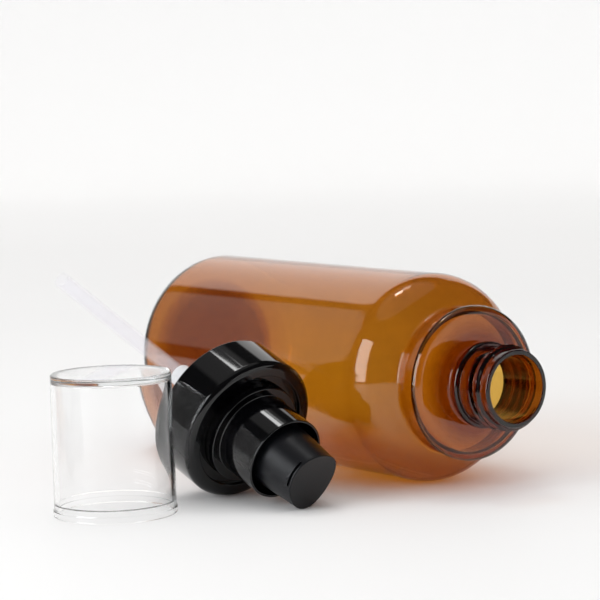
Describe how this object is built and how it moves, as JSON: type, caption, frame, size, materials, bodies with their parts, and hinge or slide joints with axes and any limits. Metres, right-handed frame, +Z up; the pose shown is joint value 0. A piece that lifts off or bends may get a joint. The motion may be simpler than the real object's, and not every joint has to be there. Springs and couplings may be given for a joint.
{
  "type": "pump oil bottle",
  "caption": "Amber screw-neck bottle lying on its side, with its dispensing pump and clear overcap set down beside it.",
  "frame": {"origin": "on the table plane, straight below the centre of the bottle's base", "axes": "+X along the bottle's axis towards its mouth, +Z up, pump and overcap on the -Y side"},
  "size_m": [0.1466, 0.1378, 0.059],
  "materials": {
    "amber_pet": "transparent amber, polished",
    "clear_plastic": "transparent, colourless, polished",
    "gloss_black": "high gloss black",
    "satin_black": "satin black",
    "natural_pp": "natural translucent white",
    "natural_pe": "natural milky white",
    "foam_white": "soft white foam sheet",
    "spring_steel": "drawn stainless steel",
    "clear_tube": "translucent natural tube"
  },
  "bodies": {
    "bottle": {"bottle": "amber_pet"},
    "overcap": {"overcap": "clear_plastic"},
    "pump": {"pump_housing": "natural_pp", "lock_ring": "natural_pp", "gasket": "foam_white", "dip_tube": "clear_tube", "return_spring": "spring_steel"},
    "collar": {"collar_shell": "gloss_black", "closure": "gloss_black"},
    "plunger": {"stem": "natural_pp", "valve_pin": "natural_pe"},
    "actuator": {"actuator": "satin_black", "nozzle_insert": "satin_black"},
    "piston": {"piston": "natural_pe"},
    "ball": {"check_ball": "spring_steel"}
  },
  "joints": [
    {"name": "overcap_lift", "type": "slide", "parent": "bottle", "child": "overcap", "axis": [0, 0, 1], "range_m": [0, 0.06]},
    {"name": "pump_lift", "type": "slide", "parent": "bottle", "child": "pump", "axis": [0, 0, 1], "range_m": [0, 0.06]},
    {"name": "collar_spin", "type": "hinge", "parent": "pump", "child": "collar", "pos_m": [0.0972, -0.0525, 0.01794], "axis": [0.9189, 0.0675, -0.3888], "continuous": true},
    {"name": "actuator_press", "type": "slide", "parent": "pump", "child": "plunger", "axis": [-0.9189, -0.0675, 0.3888], "range_m": [0, 0.005], "stiffness_N_per_m": 300, "springref_m": -0.003, "deforming": ["return_spring"]},
    {"name": "actuator_turn", "type": "hinge", "parent": "plunger", "child": "actuator", "pos_m": [0.12164, -0.05071, 0.0076], "axis": [0.9189, 0.0675, -0.3888], "continuous": true},
    {"name": "piston_follow", "type": "slide", "parent": "pump", "child": "piston", "axis": [-0.9189, -0.0675, 0.3888], "range_m": [0, 0.0043]},
    {"name": "ball_lift", "type": "slide", "parent": "pump", "child": "ball", "axis": [0.9189, 0.0675, -0.3888], "range_m": [0, 0.0009]}
  ],
  "couplings": [
    {"joint": "piston_follow", "follows": "actuator_press", "ratio": 0.84}
  ]
}
